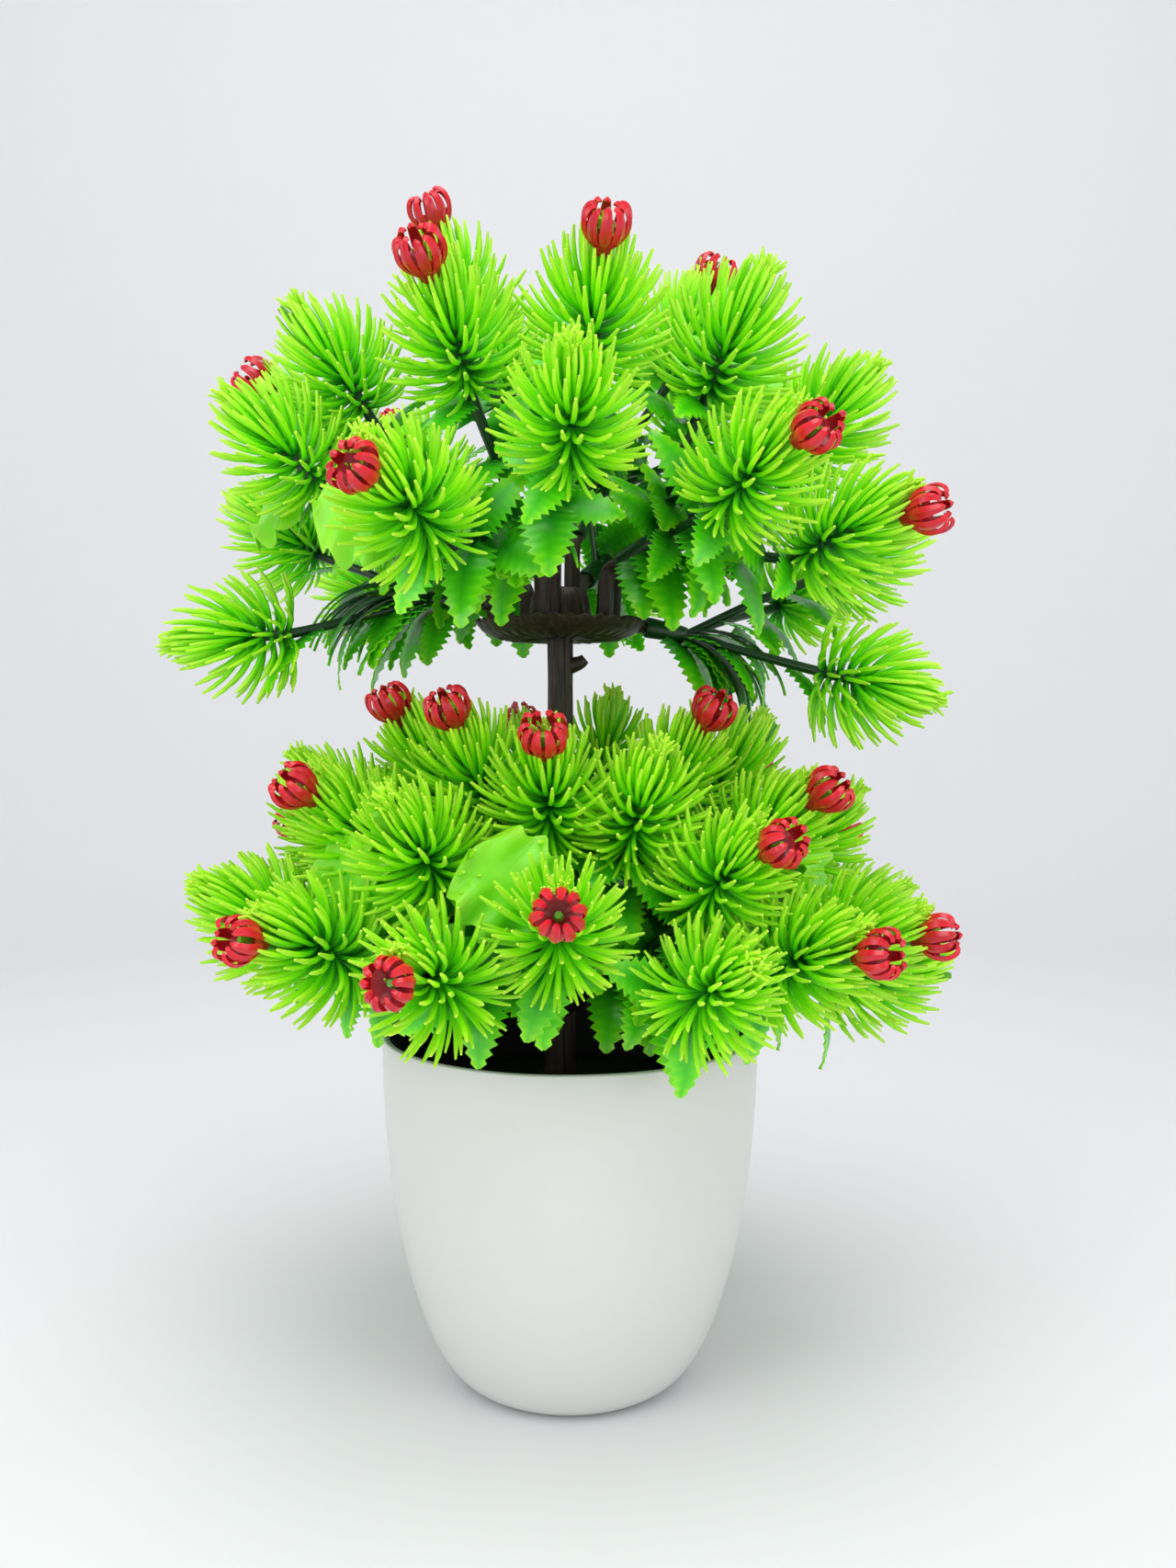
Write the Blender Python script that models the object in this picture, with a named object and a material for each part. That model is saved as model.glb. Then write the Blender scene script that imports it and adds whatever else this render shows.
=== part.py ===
"""An artificial tabletop tree: two domes of plastic sprigs and flowers on one trunk, in a pot.

Metres, +Z up, the front towards -Y. The origin is the centre of the pot's flat base.
Each sprig pushes onto a peg of its hub, and each flower onto the finger of its needle head.
"""

import math

import bmesh
import bpy
from mathutils import Vector

GAP = 0.0003  # air left between pieces that touch

# Pot: one smooth curve from the flat base up to the rim.
POT_BASE_R = 0.030
POT_HEEL = 0.0127  # how far the curve runs flat past the base
POT_RIM_R = 0.0575
POT_HEIGHT = 0.1044
POT_SIDE_HEIGHT = 0.060  # how far below the rim the side is nearly upright
POT_WALL = 0.0020
POT_LIP_ROUND = 0.0006
POT_SIDES = 36
POT_STEPS = 7

# What holds the trunk inside the pot.
BALLAST_DEPTH = 0.030
PLUG_BELOW_RIM = 0.020

# Trunk
TRUNK_X = -0.003
TRUNK_FOOT_R = 0.0054
TRUNK_TOP_R = 0.0041
TRUNK_FOOT_DEPTH = 0.018  # how far the foot is cast into the ballast
TRUNK_GROOVE = 0.0006
TRUNK_GROOVES = 8
KNOT_R = 0.0022
KNOT_LENGTH = 0.0075
KNOT_BELOW_HUB = 0.017

# Hubs: a collar with arms that run out flat and then turn up to their pegs.
COLLAR_WALL = 0.0050
COLLAR_HEIGHT = 0.015
COLLAR_SIDES = 16
ARM_R = 0.0024
ARM_DROP = 0.0060  # how far the flat run lies below the hub's centre
ARM_REACH = 0.0270  # from the hub's centre to the shoulder of the peg
ARM_KNEE = 0.0060  # the straight stretch behind the shoulder
ARM_RUN = 0.85  # where the flat run ends, as a share of the way out to the knee
PEG_R = 0.0015
PEG_LENGTH = 0.0110
ARM_SIDES = 6

# Sprigs
SOCKET_R = 0.0032
SOCKET_CAP = 0.0030
STEM_R = 0.0012
FINGER_R = 0.0015
FINGER_BACK = 0.0120  # from the head's centre back to where the finger leaves its stem
FINGER_BARE = 0.0250  # how far each kind of finger reaches past the head's centre
FINGER_SHORT = 0.0155
STEM_SIDES = 6
HEAD_R = 0.0175
HEAD_CORE_R = 0.0036
HEAD_SWEEP = 0.0044  # how far the spikes lean forward
HEAD_FRONT = 0.0053  # from the last whorl to where the finger is bare again
WHORLS = [(-0.50, 0.8), (-0.15, 1.0), (0.20, 1.0), (0.52, 0.75)]  # depth and spread, as shares of HEAD_R
LEAF_LENGTH = 0.0220
LEAF_WIDTH = 0.0110
LEAF_THICKNESS = 0.0009
LEAF_OUTLINE = [(0, -0.12), (0.45, -0.5), (1, 0), (0.45, 0.5), (0, 0.12)]  # shares of length and width
LEAF_PLACE = 0.55  # where it leaves the stem, from the fork to the head
LEAF_FORWARD = 0.50
LEAF_HANG = 0.85
CELL_MARGIN = 0.0004  # how far foliage stays from the planes between neighbouring heads

# Flowers
FLOWER_SEAT = 0.0185  # from the head's centre to the flower's foot
FLOWER_NECK_R = 0.0024
FLOWER_R = 0.0062
FLOWER_HEIGHT = 0.0125
FLOWER_BORE = 0.0040  # how deep the finger's hole is
FLOWER_WALL = [(0.60, 0.38), (1.00, 0.66), (0.68, 1.00)]  # shares of FLOWER_R and FLOWER_HEIGHT
FLOWER_FLOOR = 0.60  # where the cup's floor is, as a share of FLOWER_HEIGHT
FLOWER_SIDES = 6

NEEDLES = "needles"
BARE = "bare"
FLOWER = "flower"

# Where the crowns stand: the lower one over the pot's rim, the upper one over the lower.
HUB_ABOVE_RIM = 0.0166
CROWN_SPACING = 0.1130
LOWER_OVERHANG = 0.0345  # how far the lower crown's heads are centred past the rim
LOWER_TOP_REACH = 0.0700
UPPER_REACH = 0.0920

# Each crown's sprigs, and each sprig's heads as azimuth, elevation and what the tip ends in.
# The azimuth is counted from +X towards +Y, so 270 is the front.
UPPER_CROWN = {
    "height": POT_HEIGHT + HUB_ABOVE_RIM + CROWN_SPACING,
    "side_reach": UPPER_REACH,
    "top_reach": UPPER_REACH,
    "sprigs": {
        "front_left": [(248, 10, FLOWER), (273, 23, NEEDLES), (249, 41, FLOWER)],
        "front_right": [(303, 16, FLOWER), (325, 9, FLOWER), (312, 43, NEEDLES)],
        "right": [(350, -14, NEEDLES), (2, 10, NEEDLES), (28, 6, NEEDLES)],
        "right_high": [(341, 32, NEEDLES), (12, 38, NEEDLES)],
        "back_right": [(52, 24, NEEDLES), (78, 10, NEEDLES), (82, 42, FLOWER)],
        "back_left": [(106, 20, NEEDLES), (138, 8, NEEDLES), (132, 38, FLOWER)],
        "left": [(192, -6, NEEDLES), (168, 16, NEEDLES)],
        "left_high": [(208, 25, NEEDLES), (202, 44, BARE), (178, 37, FLOWER)],
        "top_front": [(279, 46, FLOWER), (222, 66, FLOWER)],
        "top_back": [(14, 65, FLOWER), (44, 46, NEEDLES), (120, 66, NEEDLES)],
    },
    "empty_pegs": [(212, 2)],
}
LOWER_CROWN = {
    "height": POT_HEIGHT + HUB_ABOVE_RIM,
    "side_reach": POT_RIM_R + LOWER_OVERHANG,
    "top_reach": LOWER_TOP_REACH,
    "sprigs": {
        "front": [(252, 9, FLOWER), (271, 17, FLOWER), (243, 30, BARE)],
        "front_right": [(295, 7, NEEDLES), (314, 10, FLOWER), (303, 25, FLOWER)],
        "right": [(333, 10, FLOWER), (350, 2, BARE), (352, 30, NEEDLES)],
        "right_back": [(8, 10, NEEDLES), (24, 22, FLOWER), (32, 2, NEEDLES)],
        "back_right": [(48, 16, NEEDLES), (60, 34, NEEDLES), (66, 6, NEEDLES)],
        "back": [(86, 14, FLOWER), (84, 34, NEEDLES)],
        "back_left": [(106, 6, NEEDLES), (108, 28, NEEDLES), (126, 12, NEEDLES)],
        "left_back": [(147, 6, NEEDLES), (154, 24, FLOWER), (168, 8, NEEDLES)],
        "left": [(174, 32, NEEDLES), (197, 38, NEEDLES), (186, 12, NEEDLES)],
        "front_left": [(228, 12, FLOWER), (221, 34, FLOWER), (206, 14, NEEDLES)],
        "top_front": [(268, 45, FLOWER), (291, 41, NEEDLES)],
        "top_front_right": [(322, 33, FLOWER), (314, 53, FLOWER), (350, 50, BARE)],
        "top_right": [(60, 68, NEEDLES), (37, 39, FLOWER)],
        "top_back": [(152, 54, FLOWER), (104, 52, FLOWER), (130, 36, NEEDLES)],
        "top_left": [(242, 53, FLOWER), (212, 56, FLOWER)],
    },
    "empty_pegs": [],
}


def clear_scene():
    for obj in list(bpy.data.objects):
        bpy.data.objects.remove(obj, do_unlink=True)


def make_material(name, colour, roughness, metallic=0.0):
    made = bpy.data.materials.new(name)
    made.use_nodes = True
    shader = made.node_tree.nodes["Principled BSDF"]
    shader.inputs["Base Color"].default_value = (*colour, 1.0)
    shader.inputs["Roughness"].default_value = roughness
    shader.inputs["Metallic"].default_value = metallic
    return made


def make_object(name, mesh_data, material, smooth=False):
    """Turns a bmesh into an object of the scene, with its faces pointing out."""
    bmesh.ops.recalc_face_normals(mesh_data, faces=mesh_data.faces)
    mesh = bpy.data.meshes.new(name)
    mesh_data.to_mesh(mesh)
    mesh_data.free()
    mesh.materials.append(material)
    if smooth:
        mesh.shade_smooth()
        mesh.set_sharp_from_angle(angle=math.radians(40))
    made = bpy.data.objects.new(name, mesh)
    bpy.context.scene.collection.objects.link(made)
    return made


def make_union(base, others):
    """Joins the other objects to the base with one Boolean and keeps them as hidden helpers."""
    helpers = bpy.data.collections.new(base.name + "_pieces")
    bpy.context.scene.collection.children.link(helpers)
    for other in others:
        bpy.context.scene.collection.objects.unlink(other)
        helpers.objects.link(other)
        other.hide_render = True
        other.display_type = "WIRE"
    union = base.modifiers.new("union", "BOOLEAN")
    union.operation = "UNION"
    union.operand_type = "COLLECTION"
    union.collection = helpers
    union.solver = "EXACT"
    return base


def across(direction):
    """Two unit vectors square to a direction and to each other."""
    side = direction.cross(Vector((0, 0, 1)))
    if side.length < 0.01:
        side = Vector((1, 0, 0))
    side.normalize()
    return side, direction.cross(side).normalized()


def add_bands(mesh_data, rings, closed):
    """Bridges rings of vertices. A ring of one vertex is a point on the axis."""
    pairs = list(zip(rings, rings[1:]))
    if closed:
        pairs.append((rings[-1], rings[0]))
    for lower, upper in pairs:
        sides = max(len(lower), len(upper))
        for i in range(sides):
            j = (i + 1) % sides
            corners = [lower[i % len(lower)], lower[j % len(lower)]]
            corners += [upper[j % len(upper)], upper[i % len(upper)]]
            face = []
            for corner in corners:
                if corner not in face:
                    face.append(corner)
            mesh_data.faces.new(face)


def make_turned(name, profile, sides, material, foot, axis, closed=False, smooth=True):
    """Turns a profile of (radius, height) about an axis that starts at the foot."""
    side, other = across(axis)
    mesh_data = bmesh.new()
    rings = []
    for radius, height in profile:
        centre = foot + axis * height
        if radius == 0:
            rings.append([mesh_data.verts.new(centre)])
            continue
        ring = []
        for i in range(sides):
            turn = 2 * math.pi * i / sides
            arm = side * math.cos(turn) + other * math.sin(turn)
            ring.append(mesh_data.verts.new(centre + arm * radius))
        rings.append(ring)
    add_bands(mesh_data, rings, closed)
    return make_object(name, mesh_data, material, smooth)


def make_tube(name, points, radii, sides, material):
    """A bent rod through the points, with flat ends."""
    mesh_data = bmesh.new()
    rings = []
    for i, (point, radius) in enumerate(zip(points, radii)):
        before = points[max(i - 1, 0)]
        after = points[min(i + 1, len(points) - 1)]
        if i == 0:
            axis = (after - before).normalized()
            side, other = across(axis)
        else:
            turned = (after - before).normalized().rotation_difference(axis).inverted()
            side = turned @ side
            other = turned @ other
            axis = turned @ axis
        ring = []
        for k in range(sides):
            turn = 2 * math.pi * k / sides
            arm = side * math.cos(turn) + other * math.sin(turn)
            ring.append(mesh_data.verts.new(point + arm * radius))
        rings.append(ring)
    add_bands(mesh_data, rings, closed=False)
    mesh_data.faces.new(rings[0])
    mesh_data.faces.new(rings[-1])
    return make_object(name, mesh_data, material)


def toward(azimuth, elevation):
    turn = math.radians(azimuth)
    rise = math.radians(elevation)
    flat = math.cos(rise)
    return Vector((flat * math.cos(turn), flat * math.sin(turn), math.sin(rise)))


def pot_point(t, inset):
    """A point of the pot's side curve at t from 0 to 1, moved into the pot by the inset."""
    corners = [
        Vector((POT_BASE_R, 0)),
        Vector((POT_BASE_R + POT_HEEL, 0)),
        Vector((POT_RIM_R, POT_HEIGHT - POT_SIDE_HEIGHT)),
        Vector((POT_RIM_R, POT_HEIGHT)),
    ]
    weights = [(1 - t) ** 3, 3 * t * (1 - t) ** 2, 3 * t * t * (1 - t), t**3]
    slopes = [(1 - t) ** 2, 2 * t * (1 - t), t * t]
    place = sum((c * w for c, w in zip(corners, weights)), Vector((0, 0)))
    steps = [b - a for a, b in zip(corners, corners[1:])]
    along = sum((s * w for s, w in zip(steps, slopes)), Vector((0, 0))).normalized()
    return place + Vector((-along.y, along.x)) * inset


def pot_stations(inset):
    """The side curve's corner points, moved into the pot by the inset."""
    return [pot_point(i / POT_STEPS, inset) for i in range(POT_STEPS + 1)]


def facet_radius(stations, height):
    """How far out a line through the stations is at a height."""
    for below, above in zip(stations, stations[1:]):
        if height <= above.y:
            share = (height - below.y) / (above.y - below.y)
            return below.x + (above.x - below.x) * share
    return stations[-1].x


def pot_curve(inset, low, high):
    """The inset side curve between two heights, on the pot's own facets, from the bottom up."""
    stations = pot_stations(inset)
    between = [station.y for station in stations if low < station.y < high]
    return [(facet_radius(stations, height), height) for height in [low, *between, high]]


def make_pot(material):
    outside = [tuple(station) for station in pot_stations(0)]
    inside = [tuple(station) for station in pot_stations(POT_WALL)]
    lip = [
        (POT_RIM_R - POT_LIP_ROUND, POT_HEIGHT + POT_LIP_ROUND),
        (POT_RIM_R - POT_WALL + POT_LIP_ROUND, POT_HEIGHT + POT_LIP_ROUND),
    ]
    profile = [(0, 0)] + outside + lip + inside[::-1] + [(0, POT_WALL)]
    make_turned("pot", profile, POT_SIDES, material, Vector((0, 0, 0)), Vector((0, 0, 1)))


def trunk_foot():
    return POT_WALL + GAP + BALLAST_DEPTH - TRUNK_FOOT_DEPTH


def trunk_top():
    return UPPER_CROWN["height"] - ARM_DROP + ARM_R


def trunk_radius(height):
    share = (height - trunk_foot()) / (trunk_top() - trunk_foot())
    return TRUNK_FOOT_R + (TRUNK_TOP_R - TRUNK_FOOT_R) * share


def cut_trunk_bore(filling, low, high):
    """Cuts the trunk's hole into a filling of the pot."""
    radius = trunk_radius(low) + GAP
    profile = [(0, low), (radius, low), (radius, high), (0, high)]
    foot = Vector((TRUNK_X, 0, 0))
    material = filling.data.materials[0]
    cutter = make_turned(filling.name + "_bore", profile, COLLAR_SIDES, material, foot, Vector((0, 0, 1)))
    cutter.hide_render = True
    cutter.display_type = "WIRE"
    bore = filling.modifiers.new("trunk_bore", "BOOLEAN")
    bore.operation = "DIFFERENCE"
    bore.object = cutter
    bore.solver = "EXACT"


def make_filling(name, low, high, material):
    """A round block that fills the pot between two heights."""
    curve = pot_curve(POT_WALL + GAP, low, high)
    profile = [(0, low)] + curve + [(0, high)]
    origin = Vector((0, 0, 0))
    return make_turned(name, profile, POT_SIDES, material, origin, Vector((0, 0, 1)))


def make_fillings(cement, fibre):
    floor = POT_WALL + GAP
    ballast_top = floor + BALLAST_DEPTH
    plug_top = POT_HEIGHT - PLUG_BELOW_RIM
    ballast = make_filling("ballast", floor, ballast_top, cement)
    cut_trunk_bore(ballast, trunk_foot() - GAP, ballast_top + BALLAST_DEPTH)
    plug = make_filling("fibre_plug", ballast_top + GAP, plug_top, fibre)
    cut_trunk_bore(plug, ballast_top - BALLAST_DEPTH, plug_top + BALLAST_DEPTH)


def make_trunk(material):
    """A tapered rod with bark grooves and the stub of a broken arm."""
    mesh_data = bmesh.new()
    rings = []
    for height in (trunk_foot(), LOWER_CROWN["height"], trunk_top()):
        ring = []
        for i in range(2 * TRUNK_GROOVES):
            turn = math.pi * i / TRUNK_GROOVES
            radius = trunk_radius(height) - TRUNK_GROOVE * (i % 2)
            place = (TRUNK_X + radius * math.cos(turn), radius * math.sin(turn), height)
            ring.append(mesh_data.verts.new(place))
        rings.append(ring)
    add_bands(mesh_data, rings, closed=False)
    mesh_data.faces.new(rings[0])
    mesh_data.faces.new(rings[-1])
    trunk = make_object("trunk", mesh_data, material)
    root = Vector((TRUNK_X, 0, UPPER_CROWN["height"] - KNOT_BELOW_HUB))
    tip = root + Vector((KNOT_LENGTH, 0, KNOT_R))
    knot = make_tube("trunk_knot", [root, tip], [KNOT_R, KNOT_R * 0.7], STEM_SIDES, material)
    make_union(trunk, [knot])


def crown_centre(crown):
    return Vector((TRUNK_X, 0, crown["height"]))


def head_reach(crown, elevation):
    """How far a head's centre is from the hub's centre: an ellipse in elevation."""
    rise = math.radians(elevation)
    side = math.cos(rise) / crown["side_reach"]
    top = math.sin(rise) / crown["top_reach"]
    return 1 / math.hypot(side, top)


def sprig_axis(heads):
    """The direction as far from each of a sprig's two or three heads, where its peg points."""
    ways = [toward(azimuth, elevation) for azimuth, elevation, _ in heads]
    if len(ways) == 2:
        return (ways[0] + ways[1]).normalized()
    axis = (ways[1] - ways[0]).cross(ways[2] - ways[0]).normalized()
    return axis if axis.dot(ways[0]) > 0 else -axis


def make_arm(name, crown, axis, start, material):
    """One arm of a hub: a flat run, a bend, and the thinner peg beyond its shoulder."""
    centre = crown_centre(crown)
    shoulder = centre + axis * ARM_REACH
    knee = shoulder - axis * ARM_KNEE
    outward = Vector((axis.x, axis.y, 0)).normalized()
    run = outward.dot(knee - centre) * ARM_RUN
    level = centre - Vector((0, 0, ARM_DROP))
    points = [level + outward * start, level + outward * run, knee, shoulder]
    radii = [ARM_R] * len(points)
    points += [shoulder, shoulder + axis * (PEG_LENGTH - PEG_R / 2), shoulder + axis * PEG_LENGTH]
    radii += [PEG_R, PEG_R, PEG_R / 2]
    return make_tube(name, points, radii, ARM_SIDES, material)


def make_hub(name, crown, capped, material):
    """A collar round the trunk with one arm for each sprig, capped over the trunk's end or open."""
    centre = crown_centre(crown)
    bottom = -ARM_DROP - ARM_R
    top = bottom + COLLAR_HEIGHT
    bore = trunk_radius(crown["height"] + bottom) + GAP
    outer = bore + COLLAR_WALL
    if capped:
        roof = trunk_top() + GAP - crown["height"]
        profile = [(0, roof), (bore, roof), (bore, bottom), (outer, bottom), (outer, top), (0, top)]
    else:
        profile = [(bore, bottom), (outer, bottom), (outer, top), (bore, top)]
    up = Vector((0, 0, 1))
    collar = make_turned(name, profile, COLLAR_SIDES, material, centre, up, closed=not capped)
    pieces = []
    axes = [sprig_axis(heads) for heads in crown["sprigs"].values()]
    axes += [toward(azimuth, elevation) for azimuth, elevation in crown["empty_pegs"]]
    for number, axis in enumerate(axes):
        pieces.append(make_arm(f"{name}_arm_{number}", crown, axis, bore + COLLAR_WALL / 2, material))
    make_union(collar, pieces)


def cell_planes(crown, own_place, way):
    """Normals of the planes through the hub's centre that part a head from other sprigs' heads."""
    normals = []
    for place, heads in crown["sprigs"].items():
        if place == own_place:
            continue
        for azimuth, elevation, _ in heads:
            normals.append((toward(azimuth, elevation) - way).normalized())
    return normals


def keep_inside(point, anchor, centre, normals):
    """Draws a point towards its anchor until it lies within the head's planes."""
    share = 1.0
    for normal in normals:
        room = -CELL_MARGIN - normal.dot(anchor - centre)
        step = normal.dot(point - anchor)
        if step > 0 and room < step:
            share = min(share, max(room, 0) / step)
    return anchor + (point - anchor) * share


def make_branch(name, fork, middle, way, past, centre, normals, material):
    """A stem, a needle head as whorls of thick spikes, and the finger past it, all as one rod."""
    side, other = across(way)
    neck = middle - way * FINGER_BACK
    stations = [(fork, STEM_R, False), (neck, FINGER_R, False)]
    for depth, spread in WHORLS:
        stations.append((middle + way * HEAD_R * depth, HEAD_R * spread, True))
    front = middle + way * (HEAD_R * WHORLS[-1][0] + HEAD_FRONT)
    stations += [(front, FINGER_R, False), (middle + way * past, FINGER_R, False)]
    mesh_data = bmesh.new()
    rings = []
    for number, (point, radius, spiked) in enumerate(stations):
        ring = []
        for k in range(STEM_SIDES):
            turn = 2 * math.pi * k / STEM_SIDES
            arm = side * math.cos(turn) + other * math.sin(turn)
            place = point + arm * radius
            if spiked and (k + number) % 2:
                place = point + arm * HEAD_CORE_R
            elif spiked:
                place = keep_inside(place + way * HEAD_SWEEP, point, centre, normals)
            ring.append(mesh_data.verts.new(place))
        rings.append(ring)
    add_bands(mesh_data, rings, closed=False)
    mesh_data.faces.new(rings[0])
    mesh_data.faces.new(rings[-1])
    return make_object(name + "_branch", mesh_data, material)


def make_leaf(name, root, way, width_way, centre, normals, material):
    """A flat pointed leaf, its foot inside the stem."""
    mesh_data = bmesh.new()
    thick = way.cross(width_way).normalized() * LEAF_THICKNESS / 2
    layers = []
    for face in (-1, 1):
        layer = []
        for along, aside in LEAF_OUTLINE:
            place = root + way * LEAF_LENGTH * along + width_way * LEAF_WIDTH * aside
            place = keep_inside(place, root, centre, normals)
            layer.append(mesh_data.verts.new(place + thick * face))
        layers.append(layer)
    add_bands(mesh_data, layers, closed=False)
    mesh_data.faces.new(layers[0])
    mesh_data.faces.new(layers[1])
    return make_object(name + "_leaf", mesh_data, material)


def leaf_direction(way):
    """Out and down from a head's direction, and the leaf's width direction."""
    down = Vector((0, 0, -1))
    hang = (down - way * down.dot(way)).normalized()
    lie = (way * LEAF_FORWARD + hang * LEAF_HANG).normalized()
    return lie, lie.cross(way).normalized()


def make_sprig(name, crown, place, green):
    """A socket with a forked stem, and on each branch a needle head and a leaf."""
    heads = crown["sprigs"][place]
    centre = crown_centre(crown)
    axis = sprig_axis(heads)
    foot = centre + axis * (ARM_REACH + GAP)
    bore = PEG_R + GAP
    depth = PEG_LENGTH
    length = depth + SOCKET_CAP
    profile = [(0, depth), (bore, depth), (bore, 0), (SOCKET_R, 0), (SOCKET_R, length), (0, length)]
    socket = make_turned(name + "_sprig", profile, ARM_SIDES, green, foot, axis)
    fork = foot + axis * (depth + SOCKET_CAP / 2)
    pieces = []
    for number, (azimuth, elevation, tip) in enumerate(heads):
        piece = f"{name}_{number}"
        way = toward(azimuth, elevation)
        normals = cell_planes(crown, place, way)
        middle = centre + way * head_reach(crown, elevation)
        past = FINGER_SHORT
        if tip == BARE:
            past = FINGER_BARE
        if tip == FLOWER:
            past = FLOWER_SEAT + FLOWER_BORE - GAP
        pieces.append(make_branch(piece, fork, middle, way, past, centre, normals, green))
        root = fork.lerp(middle - way * FINGER_BACK, LEAF_PLACE)
        lie, wide = leaf_direction(way)
        pieces.append(make_leaf(piece, root, lie, wide, centre, normals, green))
    make_union(socket, pieces)


def make_flower(name, crown, head, red):
    """A bud-shaped cup on a conical neck, with a blind hole for the finger."""
    azimuth, elevation, _ = head
    way = toward(azimuth, elevation)
    foot = crown_centre(crown) + way * (head_reach(crown, elevation) + FLOWER_SEAT)
    bore = FINGER_R + GAP
    profile = [(0, FLOWER_BORE), (bore, FLOWER_BORE), (bore, 0), (FLOWER_NECK_R, 0)]
    profile += [(FLOWER_R * radius, FLOWER_HEIGHT * height) for radius, height in FLOWER_WALL]
    profile.append((0, FLOWER_HEIGHT * FLOWER_FLOOR))
    make_turned(name, profile, FLOWER_SIDES, red, foot, way)


def make_crown(prefix, crown, green, red):
    for place, heads in crown["sprigs"].items():
        name = f"{prefix}_{place}"
        make_sprig(name, crown, place, green)
        number = 0
        for head in heads:
            if head[2] == FLOWER:
                number += 1
                make_flower(f"{name}_flower_{number}", crown, head, red)


def main():
    clear_scene()
    white = make_material("white_plastic", (0.88, 0.88, 0.87), 0.3)
    cement = make_material("cement", (0.42, 0.41, 0.39), 0.9)
    fibre = make_material("dark_fibre", (0.03, 0.025, 0.02), 0.95)
    brown = make_material("brown_plastic", (0.035, 0.02, 0.013), 0.5)
    green = make_material("green_plastic", (0.1, 0.5, 0.02), 0.4)
    red = make_material("red_plastic", (0.55, 0.01, 0.02), 0.35)
    make_pot(white)
    make_fillings(cement, fibre)
    make_trunk(brown)
    make_hub("lower_hub", LOWER_CROWN, False, brown)
    make_hub("upper_hub", UPPER_CROWN, True, brown)
    make_crown("lower", LOWER_CROWN, green, red)
    make_crown("upper", UPPER_CROWN, green, red)


main()
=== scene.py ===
import math
import random

import bmesh
import bpy
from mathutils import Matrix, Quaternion, Vector


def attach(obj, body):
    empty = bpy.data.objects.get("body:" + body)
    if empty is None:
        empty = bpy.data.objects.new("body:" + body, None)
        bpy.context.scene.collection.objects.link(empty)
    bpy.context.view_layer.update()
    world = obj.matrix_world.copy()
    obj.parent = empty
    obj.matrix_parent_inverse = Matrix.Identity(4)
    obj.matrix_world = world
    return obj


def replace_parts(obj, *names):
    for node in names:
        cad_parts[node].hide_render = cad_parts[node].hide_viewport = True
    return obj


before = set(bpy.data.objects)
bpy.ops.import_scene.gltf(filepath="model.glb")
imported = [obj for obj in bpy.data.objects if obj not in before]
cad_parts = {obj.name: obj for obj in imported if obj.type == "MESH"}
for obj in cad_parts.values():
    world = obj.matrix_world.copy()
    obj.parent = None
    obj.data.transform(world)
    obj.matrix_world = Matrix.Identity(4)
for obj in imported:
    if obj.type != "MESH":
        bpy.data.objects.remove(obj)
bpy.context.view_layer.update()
print("frame loaded")

# What a head's finger ends in: nothing past the needles, a bare tip, or a flower.
needles, bare, flower = "needles", "bare", "flower"

# The same crowns as the CAD model: each sprig's heads as azimuth, elevation and tip, in degrees.
upperCrown = {
    "height": 0.2340,
    "sideReach": 0.0920,
    "topReach": 0.0920,
    "sprigs": {
        "front_left": [(248, 10, flower), (273, 23, needles), (249, 41, flower)],
        "front_right": [(303, 16, flower), (325, 9, flower), (312, 43, needles)],
        "right": [(350, -14, needles), (2, 10, needles), (28, 6, needles)],
        "right_high": [(341, 32, needles), (12, 38, needles)],
        "back_right": [(52, 24, needles), (78, 10, needles), (82, 42, flower)],
        "back_left": [(106, 20, needles), (138, 8, needles), (132, 38, flower)],
        "left": [(192, -6, needles), (168, 16, needles)],
        "left_high": [(208, 25, needles), (202, 44, bare), (178, 37, flower)],
        "top_front": [(279, 46, flower), (222, 66, flower)],
        "top_back": [(14, 65, flower), (44, 46, needles), (120, 66, needles)],
    },
    "emptyPegs": [(212, 2)],
}
lowerCrown = {
    "height": 0.1210,
    "sideReach": 0.0920,
    "topReach": 0.0700,
    "sprigs": {
        "front": [(252, 9, flower), (271, 17, flower), (243, 30, bare)],
        "front_right": [(295, 7, needles), (314, 10, flower), (303, 25, flower)],
        "right": [(333, 10, flower), (350, 2, bare), (352, 30, needles)],
        "right_back": [(8, 10, needles), (24, 22, flower), (32, 2, needles)],
        "back_right": [(48, 16, needles), (60, 34, needles), (66, 6, needles)],
        "back": [(86, 14, flower), (84, 34, needles)],
        "back_left": [(106, 6, needles), (108, 28, needles), (126, 12, needles)],
        "left_back": [(147, 6, needles), (154, 24, flower), (168, 8, needles)],
        "left": [(174, 32, needles), (197, 38, needles), (186, 12, needles)],
        "front_left": [(228, 12, flower), (221, 34, flower), (206, 14, needles)],
        "top_front": [(268, 45, flower), (291, 41, needles)],
        "top_front_right": [(322, 33, flower), (314, 53, flower), (350, 50, bare)],
        "top_right": [(60, 68, needles), (37, 39, flower)],
        "top_back": [(152, 54, flower), (104, 52, flower), (130, 36, needles)],
        "top_left": [(242, 53, flower), (212, 56, flower)],
    },
    "emptyPegs": [],
}
trunkX = -0.003


def linear(hexColour):
    channels = [int(hexColour[i:i + 2], 16) / 255 for i in (1, 3, 5)]
    straight = [c / 12.92 if c <= 0.04045 else ((c + 0.055) / 1.055) ** 2.4 for c in channels]
    return (*straight, 1.0)


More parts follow.
